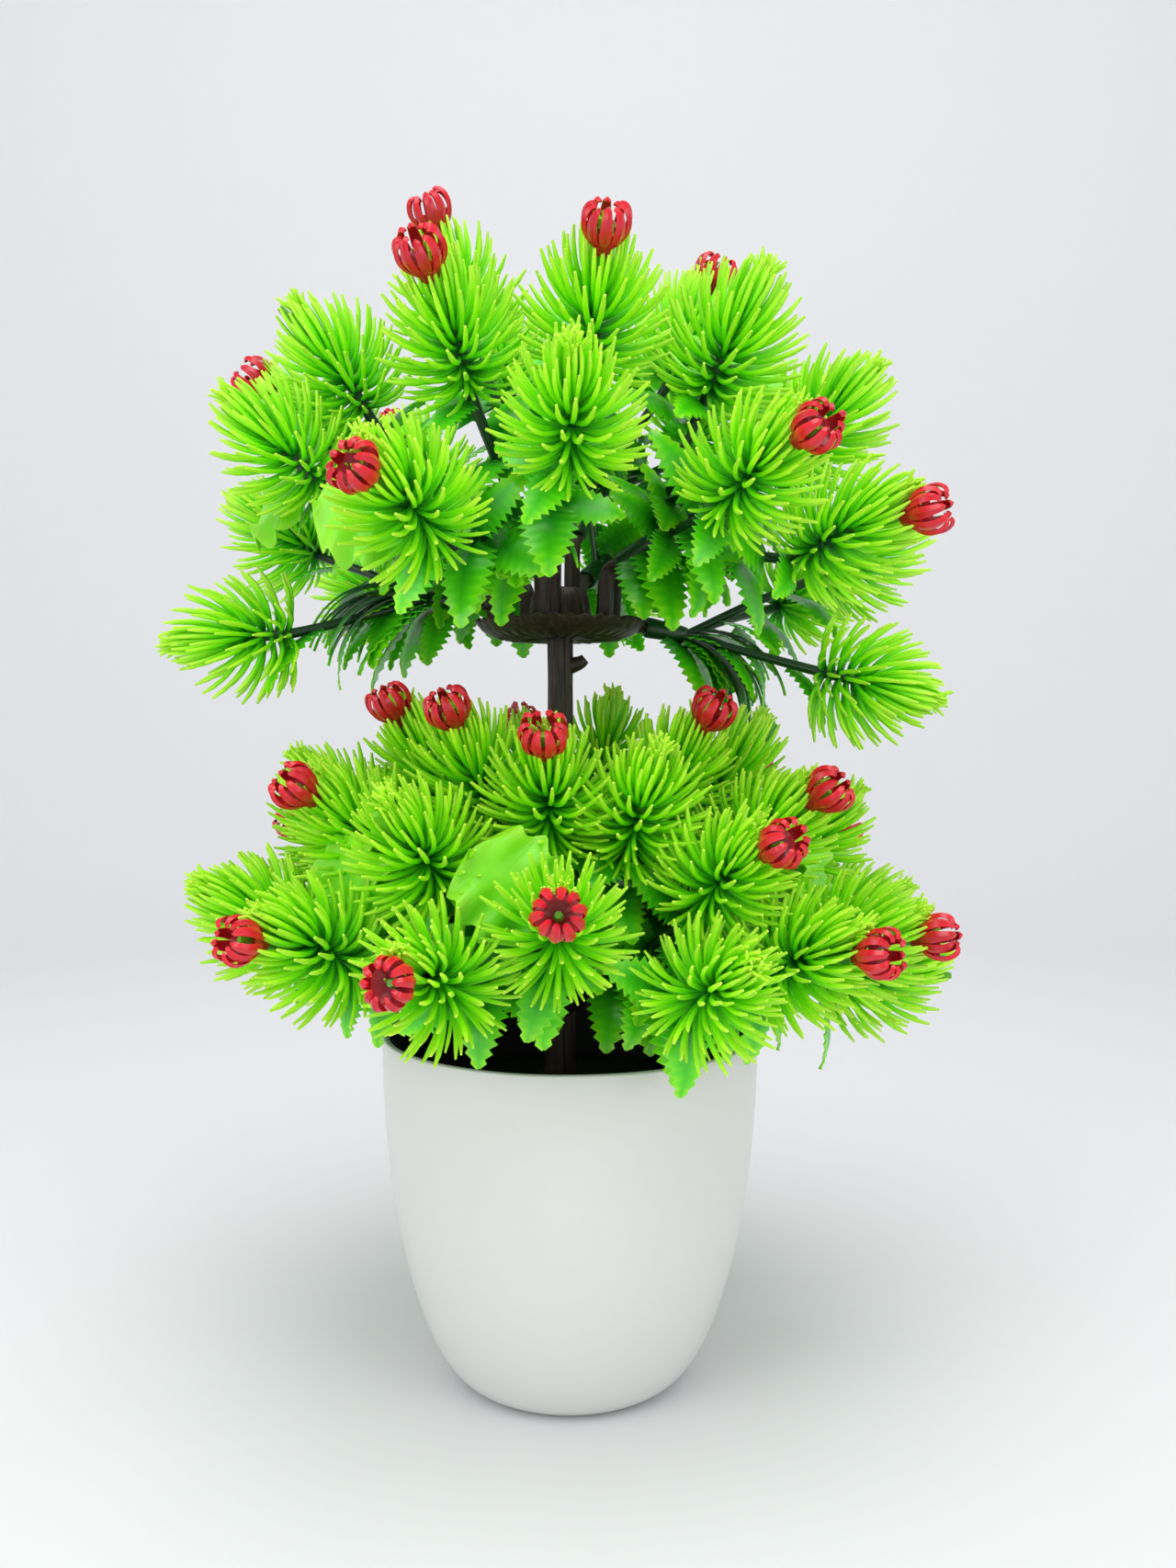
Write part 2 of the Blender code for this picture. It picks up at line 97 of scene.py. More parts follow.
def addNode(tree, kind, inputs=None, **settings):
    node = tree.nodes.new(kind)
    for name, value in settings.items():
        setattr(node, name, value)
    for key, value in (inputs or {}).items():
        if isinstance(value, bpy.types.NodeSocket):
            tree.links.new(value, node.inputs[key])
        else:
            node.inputs[key].default_value = value
    return node


def mathNode(tree, operation, a, b=0.0):
    return addNode(tree, "ShaderNodeMath", {0: a, 1: b}, operation=operation).outputs[0]


# A noise's scale for a grain of so many millimetres, since Object coordinates are in metres.
def perMetre(millimetres):
    return 1000 / millimetres


def newMaterial(name, **shaderInputs):
    made = bpy.data.materials.new(name)
    made.use_nodes = True
    shader = made.node_tree.nodes["Principled BSDF"]
    for key, value in shaderInputs.items():
        shader.inputs[key.replace("_", " ")].default_value = value
    return made, made.node_tree, shader


def toward(azimuth, elevation):
    turn = math.radians(azimuth)
    rise = math.radians(elevation)
    return Vector((math.cos(rise) * math.cos(turn), math.cos(rise) * math.sin(turn), math.sin(rise)))


# Two directions square to the way and to each other.
def across(way):
    side = way.cross(Vector((0, 0, 1)))
    if side.length < 0.01:
        side = Vector((1, 0, 0))
    side.normalize()
    return side, way.cross(side).normalized()


# A ring about the upright axis. Its reach is a length, or a function of the turn.
def roundRing(sides, reach, height, x=0.0):
    ring = []
    for k in range(sides):
        turn = 2 * math.pi * k / sides
        out = reach(turn) if callable(reach) else reach
        ring.append(Vector((x + out * math.cos(turn), out * math.sin(turn), height)))
    return ring


# Joins the rings with quads. Each ring's mark, where given, goes into the layer that the material reads.
def addLoft(mesh, rings, marks=None, mark=None, capped=True):
    rows = []
    for number, ring in enumerate(rings):
        row = [mesh.verts.new(point) for point in ring]
        if mark is not None:
            for vert in row:
                vert[mark] = marks[number]
        rows.append(row)
    for low, high in zip(rows, rows[1:]):
        for i in range(len(low)):
            j = (i + 1) % len(low)
            mesh.faces.new((low[i], low[j], high[j], high[i]))
    if capped:
        mesh.faces.new(rows[0][::-1])
        mesh.faces.new(rows[-1])


# A Catmull-Rom curve through the points.
def smoothPath(points, steps):
    ends = [2 * points[0] - points[1]] + points + [2 * points[-1] - points[-2]]
    path = []
    for a, b, c, d in zip(ends, ends[1:], ends[2:], ends[3:]):
        for i in range(steps):
            t = i / steps
            path.append(0.5 * (2 * b + (c - a) * t + (2 * a - 5 * b + 4 * c - d) * t * t
                               + (3 * b - a - 3 * c + d) * t ** 3))
    path.append(points[-1])
    return path


# Rings square to the path, turned along it without a twist.
def tubeRings(path, radii, sides, wobble=None):
    rings = []
    axis = None
    for number, point in enumerate(path):
        before = path[max(number - 1, 0)]
        after = path[min(number + 1, len(path) - 1)]
        way = (after - before).normalized()
        if axis is None:
            side, other = across(way)
        else:
            turn = axis.rotation_difference(way)
            side = turn @ side
            other = turn @ other
        axis = way
        ring = []
        for k in range(sides):
            angle = 2 * math.pi * k / sides
            reach = radii[number]
            if wobble:
                reach += wobble(angle, number)
            ring.append(point + (side * math.cos(angle) + other * math.sin(angle)) * reach)
        rings.append(ring)
    return rings


# Turns the mesh into an object, smooth except at edges sharper than 50 degrees.
def toObject(name, mesh, material):
    bmesh.ops.recalc_face_normals(mesh, faces=mesh.faces)
    data = bpy.data.meshes.new(name)
    mesh.to_mesh(data)
    mesh.free()
    data.materials.append(material)
    data.shade_smooth()
    data.set_sharp_from_angle(angle=math.radians(50))
    made = bpy.data.objects.new(name, data)
    bpy.context.scene.collection.objects.link(made)
    return made


def crownCentre(crown):
    return Vector((trunkX, 0, crown["height"]))


# A crown is an ellipsoid, and its heads sit on it: how far that is from the crown's centre.
def headReach(crown, elevation):
    rise = math.radians(elevation)
    return 1 / math.hypot(math.cos(rise) / crown["sideReach"], math.sin(rise) / crown["topReach"])


# The way a sprig's socket points: equally far from each of its heads.
def sprigAxis(heads):
    ways = [toward(azimuth, elevation) for azimuth, elevation, _ in heads]
    if len(ways) == 2:
        return (ways[0] + ways[1]).normalized()
    axis = (ways[1] - ways[0]).cross(ways[2] - ways[0]).normalized()
    return axis if axis.dot(ways[0]) > 0 else -axis


def makeStage():
    view = {"place": (0.0055, -0.396, 0.192), "pitch": 88.37, "lens": 29.54, "sensor": 36, "near": 0.01}
    camera = bpy.data.cameras.new("camera")
    camera.lens = view["lens"]
    camera.sensor_width = view["sensor"]
    camera.clip_start = view["near"]
    seat = bpy.data.objects.new("camera", camera)
    seat.location = view["place"]
    seat.rotation_euler = (math.radians(view["pitch"]), 0, 0)
    bpy.context.scene.collection.objects.link(seat)
    bpy.context.scene.camera = seat

    # A round bowl of paper: a flat floor that curves up into a wall on every side.
    sweep = {"hole": 0.02, "floor": 0.95, "radius": 0.85, "top": 1.9, "steps": 40, "sides": 96,
             "sink": 0.0004}
    profile = [(sweep["hole"], 0.0), (sweep["floor"] / 2, 0.0)]
    for i in range(sweep["steps"] + 1):
        turn = math.pi / 2 * i / sweep["steps"]
        reach = sweep["floor"] + sweep["radius"] * math.sin(turn)
        profile.append((reach, sweep["radius"] * (1 - math.cos(turn))))
    profile.append((sweep["floor"] + sweep["radius"], sweep["top"]))
    mesh = bmesh.new()
    rows = []
    for reach, height in profile:
        ring = roundRing(sweep["sides"], reach, height - sweep["sink"])
        rows.append([mesh.verts.new(point) for point in ring])
    mesh.faces.new(rows[0])
    for low, high in zip(rows, rows[1:]):
        for k in range(sweep["sides"]):
            j = (k + 1) % sweep["sides"]
            mesh.faces.new((low[k], high[k], high[j], low[j]))
    # Matt white background paper.
    paper, _, _ = newMaterial("white_paper_sweep", Base_Color=linear("#e9eaec"), Roughness=0.7)
    floor = toObject("paper_sweep", mesh, paper)

    sky = {"colour": "#f5f6f6", "strength": 0.47}
    world = bpy.data.worlds.new("studio")
    bpy.context.scene.world = world
    world.use_nodes = True
    world.node_tree.nodes["Background"].inputs[0].default_value = linear(sky["colour"])
    world.node_tree.nodes["Background"].inputs[1].default_value = sky["strength"]

    # Three soft boxes light the tree and two washes light the paper: place, aim, size and power.
    lamps = {
        "top_softbox": ((0.0, -0.35, 1.10), (0, 0, 0.22), 0.9, 7.5),
        "left_softbox": ((-0.90, -0.80, 0.55), (0, 0, 0.20), 0.8, 4.2),
        "right_softbox": ((0.90, -0.85, 0.50), (0, 0, 0.20), 0.8, 3.4),
        "wall_wash": ((0.0, 0.55, 1.75), (0, 1.80, 1.20), 1.1, 7.5),
        "rear_wash": ((0.0, -0.55, 1.75), (0, -1.80, 0.75), 1.3, 3),
    }
    for name, (place, aim, size, power) in lamps.items():
        light = bpy.data.lights.new(name, "AREA")
        light.size = size
        light.energy = power
        holder = bpy.data.objects.new(name, light)
        holder.location = place
        gaze = Vector(aim) - Vector(place)
        holder.rotation_euler = gaze.to_track_quat("-Z", "Y").to_euler()
        bpy.context.scene.collection.objects.link(holder)
    bpy.context.scene.view_settings.view_transform = "Standard"


makeStage()
print("stage set")


# White polypropylene, injection moulded: satin with a soft sheen and a very fine surface ripple.
def potPlastic():
    made, tree, shader = newMaterial("injection_moulded_white_polypropylene", Base_Color=linear("#dcdcd8"),
                                     Roughness=0.28, IOR=1.49, Coat_Weight=0.15, Coat_Roughness=0.12)
    place = addNode(tree, "ShaderNodeTexCoord")
    ripple = addNode(tree, "ShaderNodeTexNoise",
                     {"Vector": place.outputs["Object"], "Scale": perMetre(11.11), "Detail": 2.0})
    bump = addNode(tree, "ShaderNodeBump",
                   {"Height": ripple.outputs["Fac"], "Strength": 0.06, "Distance": 0.0004})
    tree.links.new(bump.outputs[0], shader.inputs["Normal"])
    return made


# Brown polyethylene moulded with a bark grain: fine upright streaks, nearly black where the grain is low.
def barkPlastic():
    made, tree, shader = newMaterial("moulded_brown_polyethylene_bark", Roughness=0.5, IOR=1.5)
    place = addNode(tree, "ShaderNodeTexCoord")
    grainSize = (perMetre(1.111), perMetre(1.111), perMetre(16.67))
    stretch = addNode(tree, "ShaderNodeMapping", {"Vector": place.outputs["Object"], "Scale": grainSize})
    grain = addNode(tree, "ShaderNodeTexNoise", {"Vector": stretch.outputs[0], "Scale": 1.0, "Detail": 5.0})
    ramp = addNode(tree, "ShaderNodeValToRGB", {"Fac": grain.outputs["Fac"]})
    for element, (position, colour) in zip(ramp.color_ramp.elements, [(0.35, "#1b110c"), (0.75, "#4a3327")]):
        element.position = position
        element.color = linear(colour)
    tree.links.new(ramp.outputs[0], shader.inputs["Base Color"])
    bump = addNode(tree, "ShaderNodeBump",
                   {"Height": grain.outputs["Fac"], "Strength": 0.5, "Distance": 0.0005})
    tree.links.new(bump.outputs[0], shader.inputs["Normal"])
    return made


# Dyed polyethylene whose colour follows a stored value, with a cloudy drift and its own tone on each copy.
# The grain of its moulded surface is in millimetres.
def alongMaterial(name, attribute, stops, roughness, scatter, grain):
    made, tree, shader = newMaterial(name, Roughness=roughness, IOR=1.5)
    mottle = {"size": 8.333, "middle": 0.5, "strength": 0.35, "darkest": 0.86, "brightest": 1.12}
    along = addNode(tree, "ShaderNodeAttribute", attribute_name=attribute)
    tone = addNode(tree, "ShaderNodeAttribute", attribute_name="tone")
    place = addNode(tree, "ShaderNodeTexCoord")
    cloud = addNode(tree, "ShaderNodeTexNoise",
                    {"Vector": place.outputs["Object"], "Scale": perMetre(mottle["size"]), "Detail": 2.0})
    drift = mathNode(tree, "ADD", cloud.outputs["Fac"], -mottle["middle"])
    drift = mathNode(tree, "MULTIPLY", drift, mottle["strength"])
    ramp = addNode(tree, "ShaderNodeValToRGB", {"Fac": mathNode(tree, "ADD", along.outputs["Fac"], drift)})
    elements = ramp.color_ramp.elements
    while len(elements) < len(stops):
        elements.new(0.5)
    for element, (position, colour) in zip(elements, stops):
        element.position = position
        element.color = linear(colour)
    swing = addNode(tree, "ShaderNodeMapRange",
                    {"Value": tone.outputs["Fac"], 3: mottle["darkest"], 4: mottle["brightest"]})
    tint = addNode(tree, "ShaderNodeHueSaturation", {"Value": swing.outputs[0], "Color": ramp.outputs[0]})
    tree.links.new(tint.outputs[0], shader.inputs["Base Color"])
    fine = addNode(tree, "ShaderNodeTexNoise",
                   {"Vector": place.outputs["Object"], "Scale": perMetre(grain), "Detail": 3.0})
    bump = addNode(tree, "ShaderNodeBump",
                   {"Height": fine.outputs["Fac"], "Strength": 0.25, "Distance": 0.0002})
    tree.links.new(bump.outputs[0], shader.inputs["Normal"])
    shader.inputs["Subsurface Weight"].default_value = scatter
    shader.inputs["Subsurface Radius"].default_value = (0.6, 1.0, 0.15)
    shader.inputs["Subsurface Scale"].default_value = 0.0015
    return made


# Coconut fibre pressed into the pot: coarse dark strands with no shine.
def coirFibre():
    made, tree, shader = newMaterial("pressed_dark_coir_fibre", Roughness=0.95)
    place = addNode(tree, "ShaderNodeTexCoord")
    strand = addNode(tree, "ShaderNodeTexNoise",
                     {"Vector": place.outputs["Object"], "Scale": perMetre(1.4286), "Detail": 6.0})
    ramp = addNode(tree, "ShaderNodeValToRGB", {"Fac": strand.outputs["Fac"]})
    ramp.color_ramp.elements[0].color = linear("#0b0907")
    ramp.color_ramp.elements[1].color = linear("#2c241c")
    tree.links.new(ramp.outputs[0], shader.inputs["Base Color"])
    bump = addNode(tree, "ShaderNodeBump",
                   {"Height": strand.outputs["Fac"], "Strength": 0.9, "Distance": 0.001})
    tree.links.new(bump.outputs[0], shader.inputs["Normal"])
    return made


potWhite = potPlastic()
bark = barkPlastic()
# Injection-moulded soft polyethylene: deep green at the root, darkened further with painted shade where the
# needles crowd, lime at the thin tip.
needleGreen = alongMaterial("moulded_green_polyethylene_needles", "along",
                            [(0.0, "#0a6a0e"), (0.16, "#27ac12"), (0.40, "#72ea08"), (0.70, "#a8ff14"),
                             (1.0, "#caff42")], 0.38, 0.25, 1.111)
# The same plastic, glossier, and paler towards a leaf's tip and teeth.
leafGreen = alongMaterial("moulded_green_polyethylene_leaves", "pale",
                          [(0.0, "#0b5213"), (0.3, "#1c9314"), (0.65, "#56d610"), (1.0, "#a2f820")],
                          0.27, 0.25, 2)
# Thicker straps, nearly black-green with a bright end.
strapGreen = alongMaterial("moulded_dark_green_polyethylene_straps", "pale",
                           [(0.0, "#0a3414"), (0.55, "#0f5a1c"), (0.85, "#3fae18"), (1.0, "#8fe81c")],
                           0.3, 0.15, 2)
# Thin film that glows with the light behind it.
lobeLime = alongMaterial("thin_lime_polyethylene_film", "pale",
                         [(0.0, "#58cd0e"), (0.5, "#7ee612"), (1.0, "#a8f92e")], 0.36, 0.4, 2)
# Round moulded stems, satin, paler towards the finger tips.
stemGreen = alongMaterial("moulded_dark_green_polyethylene_stems", "pale",
                          [(0.0, "#0c3d16"), (0.6, "#135c1a"), (1.0, "#7fdc18")], 0.34, 0.15, 2)
# Red petals with a soft shine; the pink top of the ramp is a painted highlight along their raised edges.
petalRed = alongMaterial("moulded_red_polyethylene_petals", "pale",
                         [(0.0, "#8f0a14"), (0.35, "#c80f22"), (0.8, "#e0182c"), (1.0, "#f0485a")],
                         0.26, 0.15, 1.667)
plugDark = coirFibre()
# Painted shade: a near-black sheet lining the inside of the moulded pot stands in for the shadow in its
# mouth, which hides how deep it is.
paintedShadeLining, _, _ = newMaterial("painted_shade_pot_lining", Base_Color=linear("#0d0d0c"), Roughness=0.6)
print("materials made")


def makePot():
    size = {"baseR": 0.030, "heel": 0.0127, "rimR": 0.0575, "height": 0.1044, "side": 0.060, "wall": 0.002,
            "lipRound": 0.0006, "lipSteps": 8, "sides": 160, "steps": 40}
    # The painted shade sheet starts at the rim's inner edge and stands off the wall down to its foot, 24
    # steps up.
    shadeSheet = {"wall": 0.0001, "gap": 0.0002, "edge": (0.0001, 0.0006), "foot": 24}
    corners = [(size["baseR"], 0), (size["baseR"] + size["heel"], 0),
               (size["rimR"], size["height"] - size["side"]), (size["rimR"], size["height"])]

    # A point on the side's cubic curve, moved in by the inset.
    def sidePoint(t, inset):
        weights = [(1 - t) ** 3, 3 * t * (1 - t) ** 2, 3 * t * t * (1 - t), t ** 3]
        slopes = [(1 - t) ** 2, 2 * t * (1 - t), t * t]
        place = sum((Vector(c) * w for c, w in zip(corners, weights)), Vector((0, 0)))
        steps = [Vector(b) - Vector(a) for a, b in zip(corners, corners[1:])]
        along = sum((s * w for s, w in zip(steps, slopes)), Vector((0, 0))).normalized()
        return place + Vector((-along.y, along.x)) * inset

    shares = [i / size["steps"] for i in range(size["steps"] + 1)]
    outside = [sidePoint(share, 0) for share in shares]
    inside = [sidePoint(share, size["wall"]) for share in shares]
    middle = size["rimR"] - size["wall"] / 2
    lip = []
    for i in range(1, size["lipSteps"]):
        turn = math.pi * i / size["lipSteps"]
        reach = middle + size["wall"] / 2 * math.cos(turn)
        lip.append(Vector((reach, size["height"] + size["lipRound"] * math.sin(turn))))
    sleeve = [inside[-1], inside[-1] - Vector(shadeSheet["edge"])]
    sleeve += [point - Vector((shadeSheet["gap"], 0)) for point in inside[-2:shadeSheet["foot"]:-1]]
    skin = [point - Vector((shadeSheet["wall"], 0)) for point in sleeve[::-1]]

    def turned(name, profile, material, capped):
        mesh = bmesh.new()
        addLoft(mesh, [roundRing(size["sides"], radius, height) for radius, height in profile], capped=capped)
        made = toObject(name, mesh, material)
        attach(made, "root")
        return made

    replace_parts(turned("pot_shell", outside + lip + inside[::-1], potWhite, True), "pot")
    # The near-black sheet just inside the wall is painted shade.
    turned("pot_inner_coat", sleeve + skin, paintedShadeLining, False)


makePot()
print("pot made")


def makeTrunk():
    size = {"footR": 0.0054, "topR": 0.0041, "foot": 0.0143, "top": 0.2304, "steps": 120, "sides": 64,
            "ridges": 11, "ridge": 0.00045}
    # The stub of a broken arm, just under the upper hub.
    knot = {"out": 0.003, "below": 0.017, "bend": (0.003, 0, 0.0010), "end": (0.0046, 0, 0.0022),
            "radius": 0.0026, "taper": 0.00012, "sides": 14}
    rng = random.Random(4)
    phases = [rng.uniform(0, 6.28) for _ in range(5)]

    # Three sets of grooves round the trunk, which wander from side to side as they climb.
    def barkReach(turn, height, radius):
        wander = 0.5 * math.sin(height * 60 + phases[0]) + 0.3 * math.sin(height * 140 + phases[1])
        groove = math.sin(size["ridges"] * turn + 3 * wander + phases[2])
        groove += 0.6 * math.sin(7 * turn - 4 * wander + phases[3]) + 0.3 * math.sin(19 * turn + height * 90)
        bump = 0.25 * math.sin(height * 260 + 2 * math.sin(turn + phases[4]))
        return radius - size["ridge"] * (0.9 - 0.5 * groove - 0.2 * bump)

    mesh = bmesh.new()
    rings = []
    for i in range(size["steps"] + 1):
        share = i / size["steps"]
        height = size["foot"] + (size["top"] - size["foot"]) * share
        radius = size["footR"] + (size["topR"] - size["footR"]) * share
        rings.append(roundRing(size["sides"], lambda turn: barkReach(turn, height, radius), height, trunkX))
    addLoft(mesh, rings)
    root = Vector((trunkX + knot["out"], 0, upperCrown["height"] - knot["below"]))
    path = smoothPath([root, root + Vector(knot["bend"]), root + Vector(knot["end"])], 4)
    radii = [knot["radius"] - knot["taper"] * i for i in range(len(path))]
    addLoft(mesh, tubeRings(path, radii, knot["sides"]))
    trunk = toObject("trunk_bark", mesh, bark)
    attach(trunk, "root")
    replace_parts(trunk, "trunk")


def makeHub(prefix, crown, capped):
    arm = {"radius": 0.0024, "start": 0.002 if capped else 0.0075, "drop": 0.0060, "reach": 0.0270,
           "knee": 0.006, "lift": 0.0008, "swell": 1.12, "taper": 0.22, "rootEnd": 0.6, "pegEnd": 0.86,
           "sides": 20}
    peg = {"radius": 0.0015, "length": 0.0110, "root": 0.001, "sides": 14,
           "shape": [(0, 1), (0.3, 1), (0.7, 0.97), (0.9, 0.9), (0.97, 0.7), (1.0, 0.35)]}
    # Each point of the dish is its reach and its height from the crown's centre, round the section.
    dish = {"ribs": 34, "ribShare": 0.022, "ribRise": 0.00035, "ribFrom": 0.012, "sides": 160,
            "profile": [(0.0040, -0.0078), (0.0120, -0.0090), (0.0190, -0.0086), (0.0234, -0.0068),
                        (0.0256, -0.0040), (0.0248, -0.0034), (0.0224, -0.0050), (0.0180, -0.0064),
                        (0.0120, -0.0068), (0.0040, -0.0068)]}
    # Each point of the collar is its height from the bottom and its share of the radius.
    collar = {"radius": 0.0095, "sides": 40,
              "profile": [(0, 0.80), (0.0006, 0.93), (0.0015, 1.0), (0.005, 1.0), (0.009, 0.96), (0.012, 0.9),
                          (0.0142, 0.8), (0.015, 0.7)]}
    centre = crownCentre(crown)
    mesh = bmesh.new()
    rng = random.Random(len(prefix) + 7)
    axes = [sprigAxis(heads) for heads in crown["sprigs"].values()]
    axes += [toward(azimuth, elevation) for azimuth, elevation in crown["emptyPegs"]]
    level = centre - Vector((0, 0, arm["drop"]))
    for axis in axes:
        shoulder = centre + axis * arm["reach"]
        knee = shoulder - axis * arm["knee"]
        outward = Vector((axis.x, axis.y, 0)).normalized()
        run = outward.dot(knee - centre)
        path = smoothPath([level + outward * arm["start"], level + outward * run * 0.55,
                           level + outward * run * 0.9 + Vector((0, 0, arm["lift"])), knee, shoulder], 6)
        phase = rng.uniform(0, 6.28)

        def ridged(angle, number, phase=phase):
            coarse = 0.00028 * math.sin(5 * angle + phase + 0.25 * number)
            return coarse + 0.00012 * math.sin(9 * angle - phase)

        radii = [arm["radius"] * (arm["swell"] - arm["taper"] * i / len(path)) for i in range(len(path))]
        radii[0] *= arm["rootEnd"]
        radii[-1] *= arm["pegEnd"]
        addLoft(mesh, tubeRings(path, radii, arm["sides"], ridged))
        foot = shoulder - axis * peg["root"]
        path = [foot + axis * (peg["length"] + peg["root"]) * share for share, _ in peg["shape"]]
        addLoft(mesh, tubeRings(path, [peg["radius"] * share for _, share in peg["shape"]], peg["sides"]))
    if capped:
        rings = []
        for radius, height in dish["profile"]:
            ring = []
            for k in range(dish["sides"]):
                turn = 2 * math.pi * k / dish["sides"]
                rib = math.sin(dish["ribs"] * turn + 0.5 * math.sin(3 * turn))
                rib += 0.4 * math.sin(9 * turn + radius * 400)
                reach = radius * (1 + dish["ribShare"] * rib)
                rise = height + dish["ribRise"] * rib * min(radius / dish["ribFrom"], 1)
                ring.append(centre + Vector((reach * math.cos(turn), reach * math.sin(turn), rise)))
            rings.append(ring)
        addLoft(mesh, rings + rings[:1], capped=False)

    def collarReach(turn, height, share):
        return collar["radius"] * share * (1 + 0.05 * math.sin(9 * turn + height * 300)
                                           + 0.03 * math.sin(14 * turn))

    bottom = level.z - arm["radius"]
    rings = []
    for height, share in collar["profile"]:
        rings.append(roundRing(collar["sides"], lambda turn: collarReach(turn, height, share),
                               bottom + height, trunkX))
    addLoft(mesh, rings)
    hub = toObject(prefix + "_hub_arms", mesh, bark)
    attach(hub, "root")
    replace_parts(hub, prefix + "_hub")


makeTrunk()
makeHub("upper", upperCrown, True)
makeHub("lower", lowerCrown, False)
print("trunk and hubs made")


def newTree(name, sockets):
    tree = bpy.data.node_groups.new(name, "GeometryNodeTree")
    tree.interface.new_socket("Geometry", in_out="OUTPUT", socket_type="NodeSocketGeometry")
    tree.interface.new_socket("Geometry", in_out="INPUT", socket_type="NodeSocketGeometry")
    for title, kind, value in sockets:
        socket = tree.interface.new_socket(title, in_out="INPUT", socket_type="NodeSocket" + kind)
        if value is not None:
            socket.default_value = value
    return tree


# Every head of one sprig: whorls of needles round a core, from the swept-back ones to the front tuft.
def needleTree():
    tree = newTree("needle_heads", [
        ("Whorls", "Int", 10), ("Per Whorl", "Int", 17), ("Core Length", "Float", 0.0185),
        ("Needle Length", "Float", 0.0200), ("Needle Radius", "Float", 0.00068), ("Back Tilt", "Float", 1.95),
        ("Front Tilt", "Float", 0.15), ("Curl", "Float", 0.34), ("Seed", "Int", 1),
        ("Material", "Material", None)])
    # How far one needle strays from the next, and how each whorl turns on from the one behind it.
    stray = {"turn": 0.10, "tilt": 0.09, "shortest": 0.88, "longest": 1.07, "depth": 0.0004, "twist": 0.21,
             "ease": 1.25}
    given = addNode(tree, "NodeGroupInput").outputs
    count = addNode(tree, "GeometryNodeAttributeDomainSize", {0: given["Geometry"]}, component="MESH")
    perHead = mathNode(tree, "MULTIPLY", given["Whorls"], given["Per Whorl"])
    total = mathNode(tree, "MULTIPLY", count.outputs[0], perHead)
    cloud = addNode(tree, "GeometryNodePoints", {"Count": total})

    # Each point's own head, whorl and place round the whorl, counted from its index.
    def wholes(value, size):
        return mathNode(tree, "FLOOR", mathNode(tree, "DIVIDE", mathNode(tree, "ADD", value, 0.5), size))

    index = addNode(tree, "GeometryNodeInputIndex").outputs[0]
    headIndex = wholes(index, perHead)
    rest = mathNode(tree, "SUBTRACT", index, mathNode(tree, "MULTIPLY", headIndex, perHead))
    whorl = wholes(rest, given["Per Whorl"])
    spoke = mathNode(tree, "SUBTRACT", rest, mathNode(tree, "MULTIPLY", whorl, given["Per Whorl"]))
    share = mathNode(tree, "DIVIDE", whorl, mathNode(tree, "SUBTRACT", given["Whorls"], 1.0))

    def swing(low, high, salt):
        seed = mathNode(tree, "ADD", given["Seed"], float(salt))
        draw = addNode(tree, "FunctionNodeRandomValue", {2: low, 3: high, "Seed": seed}, data_type="FLOAT")
        return draw.outputs[1]

    def sampled(value, kind):
        node = addNode(tree, "GeometryNodeSampleIndex", data_type=kind, domain="POINT")
        tree.links.new(given["Geometry"], node.inputs["Geometry"])
        tree.links.new(value, node.inputs["Value"])
        tree.links.new(headIndex, node.inputs["Index"])
        return node.outputs[0]

    def attribute(name, kind):
        named = addNode(tree, "GeometryNodeInputNamedAttribute", {"Name": name}, data_type=kind)
        return sampled(named.outputs[0], kind)

    # A value that follows a smooth curve from the first height to the last, through the points between.
    def shaped(value, first, last, between):
        node = addNode(tree, "ShaderNodeFloatCurve", {"Value": value})
        curve = node.mapping.curves[0]
        curve.points[0].location = (0.0, first)
        curve.points[1].location = (1.0, last)
        for place, height in between:
            curve.points.new(place, height)
        node.mapping.update()
        return node.outputs[0]

    position = sampled(addNode(tree, "GeometryNodeInputPosition").outputs[0], "FLOAT_VECTOR")
    way = attribute("way", "FLOAT_VECTOR")
    size = attribute("size", "FLOAT")

    turn = mathNode(tree, "MULTIPLY", mathNode(tree, "DIVIDE", spoke, given["Per Whorl"]), 2 * math.pi)
    turn = mathNode(tree, "ADD", turn, mathNode(tree, "MULTIPLY", whorl, stray["twist"]))
    turn = mathNode(tree, "ADD", turn, swing(-stray["turn"], stray["turn"], 1))
    eased = mathNode(tree, "POWER", share, stray["ease"])
    tilt = addNode(tree, "ShaderNodeMapRange", {0: eased, 3: given["Back Tilt"], 4: given["Front Tilt"]})
    tilt = mathNode(tree, "ADD", tilt.outputs[0], swing(-stray["tilt"], stray["tilt"], 2))
    profile = shaped(share, 0.80, 0.80, [(0.35, 1.0), (0.7, 0.92)])
    length = mathNode(tree, "MULTIPLY", mathNode(tree, "MULTIPLY", given["Needle Length"], profile), size)
    length = mathNode(tree, "MULTIPLY", length, swing(stray["shortest"], stray["longest"], 3))
    depth = mathNode(tree, "MULTIPLY", mathNode(tree, "SUBTRACT", share, 0.5), given["Core Length"])
    depth = mathNode(tree, "ADD", depth, swing(-stray["depth"], stray["depth"], 4))

    euler = addNode(tree, "ShaderNodeCombineXYZ", {1: tilt, 2: turn}).outputs[0]
    lean = addNode(tree, "FunctionNodeEulerToRotation", {0: euler}).outputs[0]
    aim = addNode(tree, "FunctionNodeAlignRotationToVector", {"Vector": way}, axis="Z").outputs[0]
    pose = addNode(tree, "FunctionNodeRotateRotation", {0: lean, 1: aim}, rotation_space="GLOBAL").outputs[0]
    offset = addNode(tree, "ShaderNodeVectorMath", {0: way, "Scale": depth}, operation="SCALE").outputs[0]
    root = addNode(tree, "ShaderNodeVectorMath", {0: position, 1: offset}, operation="ADD").outputs[0]
    placed = addNode(tree, "GeometryNodeSetPosition", {"Geometry": cloud.outputs[0], "Position": root})

